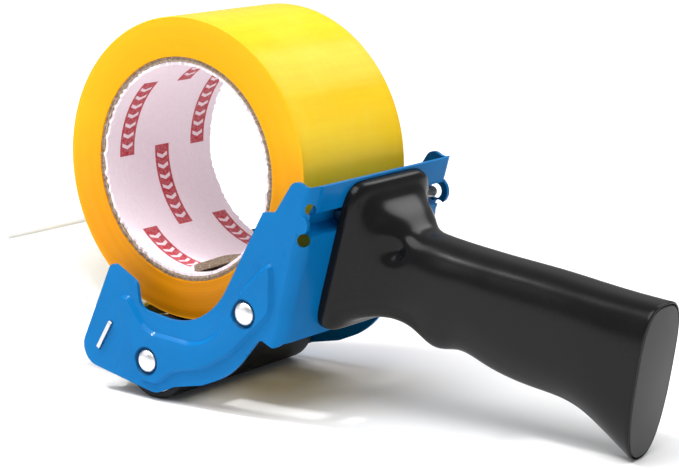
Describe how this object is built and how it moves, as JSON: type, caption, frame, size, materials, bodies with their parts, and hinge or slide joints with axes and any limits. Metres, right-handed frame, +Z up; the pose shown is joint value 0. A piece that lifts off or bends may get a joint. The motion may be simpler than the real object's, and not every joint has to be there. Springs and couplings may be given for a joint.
{
  "type": "tape dispenser",
  "caption": "Hand-held packing tape dispenser: pressed steel cradle, rubber roller, cutting blade, wiper flap, moulded grip and a turning roll of tape.",
  "frame": {"origin": "centre of the bounding box, on the surface the dispenser stands on", "axes": "+X from the nose and flap to the handle's end, +Y across to the side with the pin's access hole, +Z up"},
  "size_m": [0.2706, 0.0872, 0.1408],
  "materials": {
    "blue_paint": "gloss",
    "zinc": "bright zinc",
    "zinc_tube": "satin",
    "zinc_plate": "satin",
    "blade_steel": "satin",
    "roller_rubber": "matte",
    "dark_plastic": "matte",
    "nylon": "matte",
    "flap_plastic": "frosted clear",
    "handle_plastic": "satin",
    "cap_plastic": "matte",
    "tape_film": "glossy translucent",
    "cardboard": "rough board",
    "liner_paper": "matte paper"
  },
  "bodies": {
    "frame": {"frame": "blue_paint", "front_axle": "zinc", "rear_axle": "zinc", "front_spacers": "nylon", "blade_bracket": "zinc_plate", "cutting_blade": "blade_steel", "flap_foot": "flap_plastic", "clamp_strip": "zinc_plate", "bracket_rivets": "zinc", "handle_shell": "handle_plastic", "handle_end_cap": "cap_plastic", "handle_lock_pin": "zinc", "handle_screws": "zinc", "tape_leader": "tape_film"},
    "tape_roll": {"tape_wound": "tape_film", "tape_core": "cardboard", "core_liner": "liner_paper"},
    "front_roller": {"front_roller_sleeve": "roller_rubber", "front_roller_core": "dark_plastic", "front_roller_bushes": "nylon"},
    "rear_roller": {"rear_roller": "zinc_tube"},
    "flap": {"wiper_flap": "flap_plastic"}
  },
  "joints": [
    {"name": "roll_spin", "type": "hinge", "parent": "frame", "child": "tape_roll", "pos_m": [-0.0467, 0, 0.08528], "axis": [0, 1, 0], "continuous": true},
    {"name": "front_roller_spin", "type": "hinge", "parent": "frame", "child": "front_roller", "pos_m": [-0.0557, 0, 0.015], "axis": [0, 1, 0], "continuous": true},
    {"name": "rear_roller_spin", "type": "hinge", "parent": "frame", "child": "rear_roller", "pos_m": [-0.0091, 0, 0.03923], "axis": [0, 1, 0], "continuous": true},
    {"name": "flap_bend", "type": "hinge", "parent": "frame", "child": "flap", "pos_m": [-0.0774, 0, 0.02738], "axis": [0, 1, 0], "range_deg": [-20, 25], "stiffness_Nm_per_rad": 0.2}
  ],
  "couplings": [
    {"joint": "front_roller_spin", "follows": "roll_spin", "ratio": -3.7},
    {"joint": "rear_roller_spin", "follows": "roll_spin", "ratio": -15.417}
  ]
}
